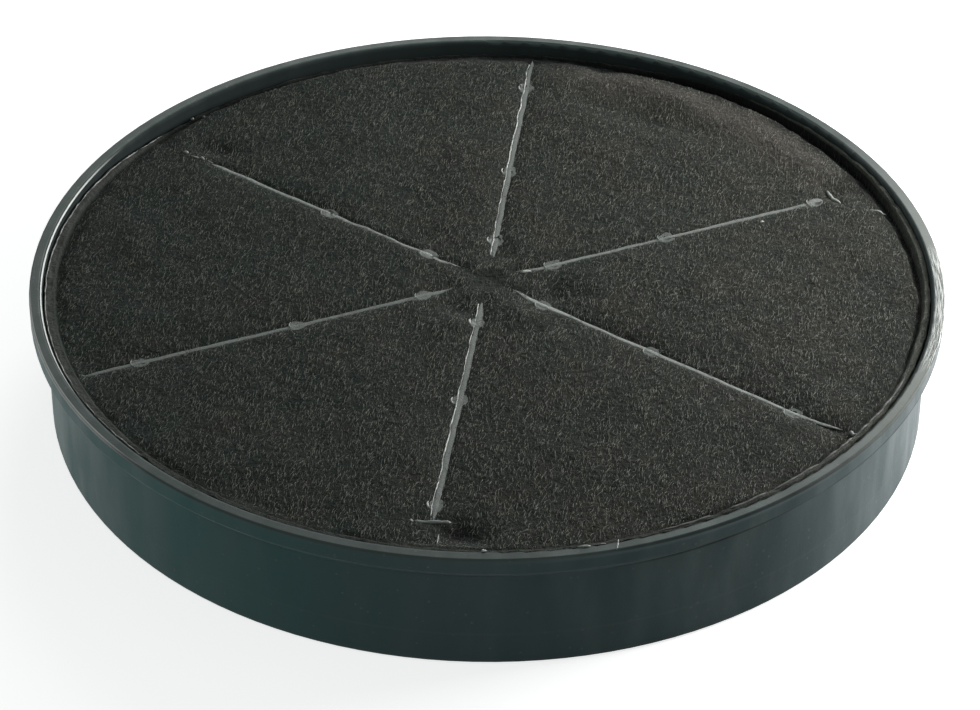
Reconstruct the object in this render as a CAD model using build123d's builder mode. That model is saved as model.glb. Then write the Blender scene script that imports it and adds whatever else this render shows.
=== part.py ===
from build123d import *
import os

# Round carbon filter for a cooker hood, fleece side up and standing on its grille side.
# Millimetres, z at 0 under the foot, the drum's axis on Z.

# Drum and rim
rim_r = 105.0  # outside of the rim
height = 31.3  # foot to rim top
rim_width = 3.0  # flat top of the rim
rim_outer_round = 0.3
rim_inner_round = 1.0
rim_overhang = 3.6  # rim beyond the drum wall
lip_height = 4.2  # upright outside of the rim
lip_run_in = 3.5  # height of the slope from the lip to the wall
lip_round = 0.8
wall_thick = 2.0
wall_draft = 0.2  # the drum is this much wider at its lower band
band_height = 8.0  # lower band, up to the faint line round the drum
foot_height = 1.0  # the wall stands this far below the grille
foot_round = 0.8

# Grille
grille_thick = 2.2
bar_width = 1.8
wide_spoke_count = 12  # spokes from the hub to the middle post ring
close_spoke_count = 24  # spokes from there to the wall
inner_gap_count = 3  # openings from the inner to the middle post ring
outer_gap_count = 4  # openings from the middle to the outer post ring
edge_gap_count = 2  # openings from the outer post ring to the wall

# Bayonet socket under the hub
hub_r = 15.5
hub_wall = 2.0
hub_roof = 2.0
socket_depth = 10.0
mouth_r = 11.0
mouth_thick = 2.0  # ledge that the fixing lugs turn behind
key_count = 3
key_width = 4.8
stop_width = 1.8
stop_height = 3.0
stop_angle = 75.0  # angle from a keyway to its stop

# Dividers, centre tube and ejector posts
divider_count = 6
divider_angle = 23.3
divider_thick = 1.6
tube_r = 8.0
tube_thick = 1.6
post_r = 2.5
inner_post_r = 16.5
middle_post_r = 46.5
outer_post_inset = 14.9  # outer post ring from the inside of the wall
t_bar_inset = 9.4  # T bar from the inside of the wall
t_bar_thick = 1.2
t_bar_width = 6.6

# Fleeces and the carbon between them
fleece_drop = 2.7  # fleece surface below the rim top
fleece_thick = 1.7
fleece_gap = 0.3  # upper fleece to the rim
margin_height = 1.2  # turned up edge above the fleece surface
margin_thick = 1.5
margin_round = 0.7
crest_recess = 0.3  # welded crests below the fleece surface
crest_cover = 0.3  # tube and outer divider ends below the fleece
weld_gap = 0.1
lower_fleece_thick = 1.5
fill_gap = 0.15

# Sizes that follow from them
wall_r = rim_r - rim_overhang
band_r = wall_r + wall_draft
bore_r = wall_r - wall_thick
rim_inner_r = rim_r - rim_width
lip_foot = height - lip_height - lip_run_in
fleece_top = height - fleece_drop
ledge = fleece_top - fleece_thick
crest_top = fleece_top - crest_recess
covered_top = ledge - crest_cover
grille_top = foot_height + grille_thick
hub_top = foot_height + socket_depth + hub_roof
chamber_r = hub_r - hub_wall
outer_post_r = bore_r - outer_post_inset
t_bar_r = bore_r - t_bar_inset
sector = 360 / divider_count
carbon_low = grille_top + lower_fleece_thick

os.makedirs("parts", exist_ok=True)


def between(start, stop, gaps):
    """Centre radii of the ring bars after start, up to and with stop."""
    return [start + (stop - start) * step / gaps for step in range(1, gaps + 1)]


def radial_bars(start, stop, width, count, angle, mode=Mode.ADD):
    """Draws evenly turned bars between two radii, the first at the angle."""
    with PolarLocations((start + stop) / 2, count, start_angle=angle):
        Rectangle(stop - start, width, mode=mode)


def divider_marks(grow, angle, mode=Mode.ADD):
    """Draws each divider's crest line, its three posts and its T bar, grown all round."""
    radial_bars(tube_r - grow, t_bar_r, divider_thick + 2 * grow, divider_count, angle, mode)
    for ring in (inner_post_r, middle_post_r, outer_post_r):
        with PolarLocations(ring, divider_count, start_angle=angle):
            Circle(post_r + grow, mode=mode)
    with PolarLocations(t_bar_r, divider_count, start_angle=angle):
        Rectangle(t_bar_thick + 2 * grow, t_bar_width + 2 * grow, mode=mode)


# Housing, one moulding of rim, drum wall, grille, hub, tube, dividers and posts
inner_bars = between(inner_post_r, middle_post_r, inner_gap_count)
outer_bars = between(middle_post_r, outer_post_r, outer_gap_count)
edge_bars = between(outer_post_r, bore_r, edge_gap_count)[:-1]
bar_radii = inner_bars + outer_bars + edge_bars

with BuildPart() as housing:
    # Drum wall with its lower band, the sloping lip and the stepped rim
    with BuildSketch(Plane.XZ):
        with BuildLine():
            Polyline(
                (bore_r, 0),
                (band_r, 0),
                (band_r, band_height),
                (wall_r, lip_foot),
                (rim_r, height - lip_height),
                (rim_r, height),
                (rim_inner_r, height),
                (rim_inner_r, ledge),
                (bore_r, ledge),
                close=True,
            )
        make_face()
    revolve(axis=Axis.Z)
    lip_ring = housing.edges().filter_by(GeomType.CIRCLE).group_by(SortBy.RADIUS)[-1].sort_by(Axis.Z)[0]
    fillet(lip_ring, lip_round)
    fillet(housing.edges().group_by(Axis.Z)[-1].sort_by(SortBy.RADIUS)[-1], rim_outer_round)
    fillet(housing.edges().group_by(Axis.Z)[-1].sort_by(SortBy.RADIUS)[0], rim_inner_round)
    fillet(housing.edges().group_by(Axis.Z)[0].sort_by(SortBy.RADIUS)[-1], foot_round)

    # Grille plate, then its openings between the ring bars and spokes
    with BuildSketch(Plane.XY.offset(foot_height)):
        Circle(bore_r + wall_thick / 2)
    extrude(amount=grille_thick)
    with BuildSketch(Plane.XY.offset(foot_height)):
        Circle(bore_r)
        for ring in reversed(bar_radii):
            Circle(ring + bar_width / 2, mode=Mode.SUBTRACT)
            Circle(ring - bar_width / 2)
        Circle(hub_r, mode=Mode.SUBTRACT)
        radial_bars(0, bore_r, bar_width, wide_spoke_count, divider_angle, Mode.SUBTRACT)
        radial_bars(middle_post_r, bore_r, bar_width, close_spoke_count, divider_angle, Mode.SUBTRACT)
    extrude(amount=grille_thick, mode=Mode.SUBTRACT)

    # Hub, with the centre tube on its roof
    with BuildSketch(Plane.XY.offset(foot_height)):
        Circle(hub_r)
    extrude(amount=socket_depth + hub_roof)
    with BuildSketch(Plane.XY.offset(hub_top)):
        Circle(tube_r)
        Circle(tube_r - tube_thick, mode=Mode.SUBTRACT)
    extrude(amount=covered_top - hub_top)

    # Dividers from tube to wall, with their welded crests, posts and T bars higher
    with BuildSketch(Plane.XY.offset(grille_top)):
        radial_bars(tube_r - tube_thick / 2, bore_r + wall_thick / 2, divider_thick, divider_count, divider_angle)
    extrude(amount=covered_top - grille_top)
    with BuildSketch(Plane.XY.offset(grille_top)):
        divider_marks(0, divider_angle)
    extrude(amount=crest_top - grille_top)

    # Bayonet socket in the hub: chamber, keyed mouth and the stops for the lugs
    with BuildSketch(Plane.XY.offset(foot_height + mouth_thick)):
        Circle(chamber_r)
    extrude(amount=socket_depth - mouth_thick, mode=Mode.SUBTRACT)
    with BuildSketch(Plane.XY.offset(foot_height)):
        Circle(mouth_r)
        radial_bars(0, chamber_r, key_width, key_count, divider_angle)
        Circle(chamber_r, mode=Mode.INTERSECT)
    extrude(amount=mouth_thick, mode=Mode.SUBTRACT)
    with BuildSketch(Plane.XY.offset(foot_height + mouth_thick)):
        radial_bars(mouth_r, chamber_r + hub_wall / 2, stop_width, key_count, divider_angle + stop_angle)
    extrude(amount=stop_height)
housing.part.label = "housing"


def compartment_outline(inner_r):
    """The space between the divider along X and the next one, clear of what stands round it."""
    with BuildSketch() as outline:
        Circle(bore_r - fill_gap)
        Circle(inner_r + fill_gap, mode=Mode.SUBTRACT)
        with BuildLine():
            far_corner = Vector(2 * rim_r, 0)
            Polyline((0, 0), far_corner, far_corner.rotate(Axis.Z, sector), close=True)
        make_face(mode=Mode.INTERSECT)
        radial_bars(0, bore_r, divider_thick + 2 * fill_gap, divider_count, 0, Mode.SUBTRACT)
        divider_marks(fill_gap, 0, Mode.SUBTRACT)
    return outline.sketch


# Lower fleece pads and carbon charges, one of each to a compartment
beside_hub = compartment_outline(hub_r)
over_hub = compartment_outline(tube_r)
lower_fleeces = []
carbon_charges = []
for number in range(divider_count):
    turned = Plane.XY.rotated((0, 0, divider_angle + sector * number))
    with BuildPart() as pad:
        with BuildSketch(turned.offset(grille_top)):
            add(beside_hub)
        extrude(amount=lower_fleece_thick)
    pad.part.label = f"lower_fleece_{number + 1}"
    lower_fleeces.append(pad.part)

    with BuildPart() as charge:
        with BuildSketch(turned.offset(carbon_low)):
            add(beside_hub)
        extrude(amount=hub_top - carbon_low)
        with BuildSketch(turned.offset(hub_top)):
            add(over_hub)
        extrude(amount=ledge - hub_top)
    charge.part.label = f"carbon_charge_{number + 1}"
    carbon_charges.append(charge.part)

# Upper fleece, one disc with a turned up edge, open where the crests are welded through it
fleece_r = rim_inner_r - fleece_gap
with BuildPart() as upper_fleece:
    with BuildSketch(Plane.XZ):
        with BuildLine():
            Polyline(
                (0, ledge),
                (fleece_r, ledge),
                (fleece_r, fleece_top + margin_height),
                (fleece_r - margin_thick, fleece_top + margin_height),
                (fleece_r - margin_thick, fleece_top),
                (0, fleece_top),
                close=True,
            )
        make_face()
    revolve(axis=Axis.Z)
    fillet(upper_fleece.edges().group_by(Axis.Z)[-1], margin_round)
    with BuildSketch(Plane.XY.offset(ledge)):
        divider_marks(weld_gap, divider_angle)
    extrude(amount=fleece_thick, mode=Mode.SUBTRACT)
upper_fleece.part.label = "upper_fleece"

# Files, one for each piece
for piece in [housing.part, upper_fleece.part, *lower_fleeces, *carbon_charges]:
    export_step(piece, f"parts/{piece.label}.step")
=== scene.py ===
import math

import bpy
import numpy as np
from mathutils import Matrix, Vector


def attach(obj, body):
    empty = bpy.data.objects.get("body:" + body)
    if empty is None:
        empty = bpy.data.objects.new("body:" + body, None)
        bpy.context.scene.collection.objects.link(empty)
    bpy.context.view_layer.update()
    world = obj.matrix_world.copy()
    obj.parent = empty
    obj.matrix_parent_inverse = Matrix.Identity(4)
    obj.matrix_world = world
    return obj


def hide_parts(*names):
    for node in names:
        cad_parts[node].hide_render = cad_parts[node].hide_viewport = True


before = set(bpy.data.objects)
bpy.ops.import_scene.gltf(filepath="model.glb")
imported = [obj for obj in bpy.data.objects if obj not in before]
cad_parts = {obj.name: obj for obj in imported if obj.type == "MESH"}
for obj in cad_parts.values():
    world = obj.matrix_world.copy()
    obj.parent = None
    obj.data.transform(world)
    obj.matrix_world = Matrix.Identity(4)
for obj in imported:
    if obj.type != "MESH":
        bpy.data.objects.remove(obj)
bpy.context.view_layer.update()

# The filter's sizes in millimetres, as the solids have them
MM = 0.001
RIM_TOP = 31.3
CREST_TOP = 28.3
FLEECE_LEVEL = 28.6
LEDGE = 26.9
DIVIDER_ANGLE = 23.3
GRILLE_TOP = 3.2
PAD_TOP = 4.7
HUB_R = 15.5
BORE_R = 99.4
TUBE_R = 8.0
CREST_HALF = 0.8
POST_R = 2.5
POST_RINGS = (16.5, 46.5, 84.5)
T_BAR_R = 90.0
T_BAR_HALF = 0.6
T_BAR_REACH = 3.3
BAR_WIDTH = 1.8
WIDE_SPOKES = 30.0  # degrees from one spoke to the next
CLOSE_SPOKES = 15.0
RING_BARS = (26.5, 36.5, 46.5, 56.0, 65.5, 75.0, 84.5, 91.95)

# The fleece's cut edge before it wanders, the farthest that it wanders out, the radius beyond which
# the mesh follows it, and the way from there to the edge
CUT_EDGE_R = 101.6
CUT_EDGE_MOST = 101.75
MARGIN_START_R = 88.0
MARGIN_RUN = 13.6

# Welded crests as they show through the fleece: polar angle, where each starts and ends, half its
# width, how far its inner and outer ends are bent aside, the side with a flash painted bright as a
# painted glint, its posts' radii, and its T bar where that shows. A T bar has its radius, width, half
# thickness, bow and turn.
WELD_MEASURES = ("angle", "start", "end", "half", "hook", "tail", "flash", "posts", "bar")
WELDS = {
    letter: dict(zip(WELD_MEASURES, measures))
    for letter, *measures in (
        ("a", 83.6, 9.2, 98.5, 0.76, -0.3, 0.0, 1, (16.8, 46.5, 84.7), None),
        ("b", 23.4, 7.6, 86.4, 0.66, 1.2, 0.0, 0, (16.4, 45.6, 84.9), (89.6, 7.0, 0.46, 1.3, 0.0)),
        ("c", 323.4, 6.6, 96.8, 0.62, 0.9, 1.3, 0, (16.1, 46.2, 83.8), None),
        ("d", 262.9, 7.8, 90.2, 0.82, 0.0, 0.0, -1, (16.7, 46.6, 83.9), (89.9, 8.0, 0.50, 0.1, -0.124)),
        ("e", 203.1, 7.8, 99.2, 0.70, -0.4, 0.0, 0, (15.9, 46.6, 84.3), None),
        ("f", 143.8, 8.2, 84.0, 0.58, -1.0, 0.0, 0, (17.0, 46.6), None),
    )
}

# Drops and lumps of melted plastic off the lines: across, away, length, width and turn. The first
# few are painted brightest, as painted glints.
GLINTING_DROPS = 3
DROPS = (
    (64.8, 24.6, 0.9, 0.5, 0.4),
    (92.6, 28.9, 3.9, 0.42, -0.06),
    (8.9, 3.7, 2.6, 0.8, 0.25),
    (79.8, -58.7, 2.2, 1.0, -0.9),
    (-15.6, -89.3, 0.9, 0.8, 0.0),
    (-9.9, -94.9, 0.42, 3.4, 0.1),
    (8.0, 85.2, 0.8, 0.9, 0.3),
    (-69.2, 50.2, 1.2, 0.8, -0.5),
    (-73.4, 53.0, 1.5, 0.7, -0.2),
    (-70.9, 50.6, 2.4, 0.5, -0.5),
    (-67.2, 49.4, 1.8, 0.4, -0.6),
    (-73.0, 69.0, 1.0, 0.6, 0.5),
    (-70.2, 70.0, 0.8, 0.6, 0.2),
)

# Burrs and specks on the rim's inner edge, measured alike. The first is the dullest; the others are painted bright
# as painted glints.
RIM_MARKS = (
    (20.6, -100.5, 2.8, 0.60, 0.12),
    (27.6, -99.6, 0.32, 3.4, 0.12),
    (-0.2, -102.2, 1.1, 0.7, 0.0),
    (24.6, -99.4, 1.2, 0.22, 0.1),
)

# Fleece margin by bearing, clockwise from the far side. The cut edge's radius. The turned up lip:
# radius and top. The slope inside it: radius, run and the level at its foot. The puffed ridge:
# radius, rise and width.
MARGIN = np.array((
    (0, 101.3, 101.0, 28.0, 94.0, 6.5, 27.5, 90.0, 0.0, 5.0),
    (12, 101.3, 101.0, 28.1, 95.2, 5.0, 27.4, 91.0, 0.6, 5.0),
    (20, 101.3, 100.4, 28.3, 96.0, 4.2, 27.2, 91.5, 0.8, 5.0),
    (30, 101.5, 101.0, 29.0, 97.2, 3.4, 27.2, 91.0, 0.9, 5.0),
    (38, 101.6, 101.0, 29.4, 97.2, 3.4, 27.2, 90.0, 0.8, 5.5),
    (50, 101.7, 100.9, 29.8, 97.4, 3.0, 27.2, 91.0, 0.6, 6.0),
    (65, 101.75, 100.7, 30.2, 96.8, 3.2, 27.2, 92.0, 0.3, 6.0),
    (80, 101.75, 100.2, 30.2, 97.4, 2.3, 27.2, 94.0, 0.2, 4.0),
    (95, 101.7, 100.2, 30.1, 98.3, 1.4, 27.4, 95.5, 0.2, 2.5),
    (105, 101.4, 99.5, 29.8, 98.1, 1.0, 28.0, 96.0, 0.2, 2.0),
    (115, 101.2, 99.8, 29.8, 98.6, 0.8, 28.8, 97.0, 0.2, 1.5),
    (127, 100.9, 99.8, 29.9, 98.7, 0.6, 28.9, 97.3, 0.3, 1.4),
    (140, 100.9, 99.8, 30.0, 98.8, 0.7, 29.0, 97.0, 0.1, 2.0),
    (180, 101.3, 100.2, 30.0, 97.4, 1.6, 29.0, 97.0, 0.0, 3.0),
    (225, 101.5, 99.8, 30.2, 97.0, 1.8, 29.2, 97.0, 0.0, 3.0),
    (245, 101.7, 99.3, 30.2, 96.4, 2.0, 29.2, 97.0, 0.0, 2.0),
    (265, 101.7, 99.3, 30.1, 96.2, 2.2, 29.1, 97.0, 0.0, 2.0),
    (280, 101.6, 99.5, 29.9, 96.2, 2.4, 28.9, 97.0, 0.0, 3.0),
    (295, 101.4, 99.8, 29.3, 96.4, 2.8, 28.5, 97.0, 0.0, 3.0),
    (310, 101.0, 100.2, 28.0, 96.8, 3.0, 27.6, 97.0, 0.2, 3.0),
    (325, 101.2, 100.6, 27.8, 97.4, 3.0, 27.5, 97.0, 0.2, 3.0),
    (345, 101.3, 100.8, 27.8, 96.2, 4.6, 27.5, 94.0, 0.1, 3.0),
))

# Dips and puffs of the fleece: across, away, radius and rise, in millimetres
DIMPLES = (
    (0.0, 0.0, 6.5, -0.75),
    (15.5, -4.5, 5.0, -1.1),
    (-7.0, -11.0, 4.5, -1.0),
    (-13.0, 1.5, 4.5, -0.7),
    (4.5, 11.5, 3.5, -0.4),
    (-8.0, -18.5, 4.0, 0.7),
    (-16.0, 9.0, 5.0, 0.6),
    (-27.0, 17.0, 7.0, 0.5),
    (8.0, -14.0, 4.0, 0.5),
    (82.0, 38.5, 4.5, -1.1),
    (29.5, 94.5, 4.5, -1.2),
    (-64.8, 54.7, 3.6, -1.2),
    (-69.5, 56.0, 3.0, -0.7),
    (-6.0, -92.5, 4.0, -1.5),
    (-1.0, -95.0, 3.4, -0.8),
    (26.0, 76.0, 4.0, -0.5),
    (32.5, 73.0, 4.0, -0.6),
    (39.0, 69.0, 4.5, -0.6),
    (50.0, 64.5, 5.0, -0.4),
)


# Node wiring


def plug(tree, node, inputs):
    """Fills a node's sockets with values or other nodes' outputs."""
    for socket, value in dict(inputs).items():
        if isinstance(value, bpy.types.NodeSocket):
            tree.links.new(value, node.inputs[socket])
        else:
            node.inputs[socket].default_value = value


def wire(tree, kind, inputs=(), **settings):
    """Adds a node, sets it and fills its sockets."""
    made = tree.nodes.new(kind)
    for name, value in settings.items():
        setattr(made, name, value)
    plug(tree, made, inputs)
    return made


def sums(tree, operation, *values):
    """One step of arithmetic on numbers."""
    return wire(tree, "ShaderNodeMath", enumerate(values), operation=operation).outputs[0]


def times(tree, first, *others):
    """Numbers or masks multiplied together."""
    for other in others:
        first = sums(tree, "MULTIPLY", first, other)
    return first


def largest(tree, first, *others):
    """The strongest of some masks."""
    for other in others:
        first = sums(tree, "MAXIMUM", first, other)
    return first


def mix_colours(tree, share, first, second):
    """Blends two colours by a mask, each a node's output or its red, green and blue."""
    first, second = (c if isinstance(c, bpy.types.NodeSocket) else (*c, 1) for c in (first, second))
    return wire(tree, "ShaderNodeMix", {0: share, 6: first, 7: second}, data_type="RGBA").outputs[2]


def layered(tree, colour, *layers):
    """Lays colours over a ground one after another, each through its mask."""
    for mask, over in layers:
        colour = mix_colours(tree, mask, colour, over)
    return colour


def fade(tree, value, low, high, out_low=0.0, out_high=1.0):
    """Maps a number onto another range, smoothly and clamped."""
    stretch = {"Value": value, "From Min": low, "From Max": high, "To Min": out_low, "To Max": out_high}
    return wire(tree, "ShaderNodeMapRange", stretch, interpolation_type="SMOOTHSTEP").outputs[0]


def band(tree, value, rise, fall, least=0.0):
    """A mask that comes up over one range of a number and goes down over another."""
    return times(tree, fade(tree, value, *rise), fade(tree, value, *fall, 1.0, least))


def beside(tree, angle, middle, reach, strength=(1.0, 0.0)):
    """A mask round an angle, its strength going from the first to the second over a reach."""
    off = sums(tree, "ABSOLUTE", sums(tree, "SUBTRACT", angle, middle))
    return fade(tree, off, *reach, *strength)


def noise(tree, place, scale, detail, distortion=0.0):
    """Smooth noise from 0 to 1."""
    given = {"Vector": place, "Scale": scale, "Detail": detail, "Distortion": distortion}
    return wire(tree, "ShaderNodeTexNoise", given).outputs[0]


def relief(tree, height, strength, distance, **settings):
    """A bumped normal from a height, its distance in metres."""
    given = {"Height": height, "Strength": strength, "Distance": distance}
    return wire(tree, "ShaderNodeBump", given, **settings).outputs[0]


def millimetres(tree):
    """The surface's place on the filter, in millimetres."""
    place = wire(tree, "ShaderNodeTexCoord").outputs["Object"]
    return wire(tree, "ShaderNodeVectorMath", {0: place, 3: 1 / MM}, operation="SCALE").outputs[0]


def new_group(name, numbers, outputs):
    """An empty shader group that takes a position and named numbers, and its two ends."""
    tree = bpy.data.node_groups.new(name, "ShaderNodeTree")
    tree.interface.new_socket("Position", in_out="INPUT", socket_type="NodeSocketVector")
    for socket, value in numbers.items():
        made = tree.interface.new_socket(socket, in_out="INPUT", socket_type="NodeSocketFloat")
        made.default_value = value
    for socket in outputs:
        tree.interface.new_socket(socket, in_out="OUTPUT", socket_type="NodeSocketFloat")
    return tree, tree.nodes.new("NodeGroupInput").outputs, tree.nodes.new("NodeGroupOutput")


def use_group(tree, group, place, **numbers):
    """Places a shader group with its own numbers, and gives its outputs."""
    given = {"Position": place, **{name.replace("_", " "): value for name, value in numbers.items()}}
    return wire(tree, "ShaderNodeGroup", given, node_tree=group).outputs


def mottle(tree, place, size, contrast):
    """Cloudy variation from the shared group."""
    return use_group(tree, MOTTLE, place, Size=size, Contrast=contrast)["Amount"]


def new_material(name):
    """A node material with a Principled shader, its tree and that shader."""
    material = bpy.data.materials.new(name)
    material.use_nodes = True
    return material, material.node_tree, material.node_tree.nodes["Principled BSDF"]


# Shader groups that the finishes share


def polar_group():
    """Where a place is: angle round the filter, radius, distance across, and level above the foot."""
    tree, given, out = new_group("polar", {}, ("Angle", "Radius", "Across", "Level"))
    across, away, level = wire(tree, "ShaderNodeSeparateXYZ", {0: given["Position"]}).outputs
    squares = sums(tree, "ADD", sums(tree, "POWER", across, 2.0), sums(tree, "POWER", away, 2.0))
    angle, radius = sums(tree, "ARCTAN2", away, across), sums(tree, "SQRT", squares)
    plug(tree, out, {"Angle": angle, "Radius": radius, "Across": across, "Level": level})
    return tree


def mottle_group():
    """Cloudy variation from 0 to 1 at a size in millimetres."""
    tree, given, out = new_group("mottle", {"Size": 10.0, "Contrast": 0.5}, ("Amount",))
    clouds = noise(tree, given["Position"], sums(tree, "DIVIDE", 1.0, given["Size"]), 3.0)
    half = times(tree, given["Contrast"], 0.3)
    low, high = sums(tree, "SUBTRACT", 0.5, half), sums(tree, "ADD", 0.5, half)
    plug(tree, out, {"Amount": fade(tree, clouds, low, high)})
    return tree


def strand_group():
    """Thin straight strands that run one way: 1 on a strand and 0 between."""
    numbers = {"Turn": 0.0, "Length": 2.0, "Width": 0.15, "Amount": 0.5}
    tree, given, out = new_group("strands", numbers, ("Strand",))
    turning = {"Vector": given["Position"], "Angle": given["Turn"]}
    turned = wire(tree, "ShaderNodeVectorRotate", turning, rotation_type="Z_AXIS").outputs[0]
    along = sums(tree, "DIVIDE", 1.0, given["Length"])
    across = sums(tree, "DIVIDE", 1.0, given["Width"])
    stretch = wire(tree, "ShaderNodeCombineXYZ", {0: along, 1: across, 2: 0.5}).outputs[0]
    run = wire(tree, "ShaderNodeVectorMath", {0: turned, 1: stretch}, operation="MULTIPLY").outputs[0]
    low = fade(tree, given["Amount"], 0.0, 1.0, 0.72, 0.42)
    strand = fade(tree, noise(tree, run, 0.6, 1.0, 0.15), low, sums(tree, "ADD", low, 0.12))
    plug(tree, out, {"Strand": strand})
    return tree


def scuff_group():
    """Small rubbed marks and specks on moulded plastic, as a mask, and a fine grain as a height."""
    tree, given, out = new_group("scuffs", {"Speck size": 0.6, "Grain size": 0.5}, ("Specks", "Grain"))
    speck_scale = sums(tree, "DIVIDE", 1.0, given["Speck size"])
    cells = wire(tree, "ShaderNodeTexVoronoi", {"Vector": given["Position"], "Scale": speck_scale}).outputs
    chance = wire(tree, "ShaderNodeSeparateColor", {"Color": cells["Color"]}).outputs[0]
    near = fade(tree, cells["Distance"], 0.12, 0.32, 1.0, 0.0)
    grain = noise(tree, given["Position"], sums(tree, "DIVIDE", 1.0, given["Grain size"]), 4.0)
    plug(tree, out, {"Specks": times(tree, near, fade(tree, chance, 0.88, 0.94)), "Grain": grain})
    return tree


POLAR = polar_group()
MOTTLE = mottle_group()
STRANDS = strand_group()
SCUFFS = scuff_group()


def web_group():
    """Fleece strands laid over one another in several directions: 1 on a strand and 0 between."""
    tree, given, out = new_group("fleece_web", {}, ("Web",))
    covered = 0.0
    for turn, length, width, amount in (
        (-1.43, 1.6, 0.13, 0.47),
        (-1.22, 1.5, 0.12, 0.43),
        (-1.66, 1.6, 0.12, 0.43),
        (-1.90, 1.3, 0.12, 0.36),
        (-0.95, 1.3, 0.12, 0.34),
        (-0.20, 1.2, 0.16, 0.26),
    ):
        laid = use_group(tree, STRANDS, given["Position"], Turn=turn, Length=length, Width=width, Amount=amount)
        covered = largest(tree, covered, laid["Strand"])
    plug(tree, out, {"Web": covered})
    return tree


def shaded_margin_group():
    """A soft mask where the fleece rolls down out of the light inside the rim's far right."""
    tree, given, out = new_group("shaded_margin", {"Amount": 1.0}, ("Shade",))
    place = given["Position"]
    here = use_group(tree, POLAR, place)
    ragged = sums(tree, "ADD", here["Radius"], times(tree, mottle(tree, place, 3.0, 1.3), 2.4))
    far_right = band(tree, here["Angle"], (0.15, 0.5), (1.5, 2.0), 0.3)
    turned_in = times(tree, fade(tree, ragged, 95.0, 100.2), fade(tree, here["Level"], 29.2, 29.7, 1.0, 0.0))
    shade = times(tree, far_right, turned_in, times(tree, given["Amount"], 0.85))
    plug(tree, out, {"Shade": shade})
    return tree


WEB = web_group()
SHADED_MARGIN = shaded_margin_group()


# Finishes


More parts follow.
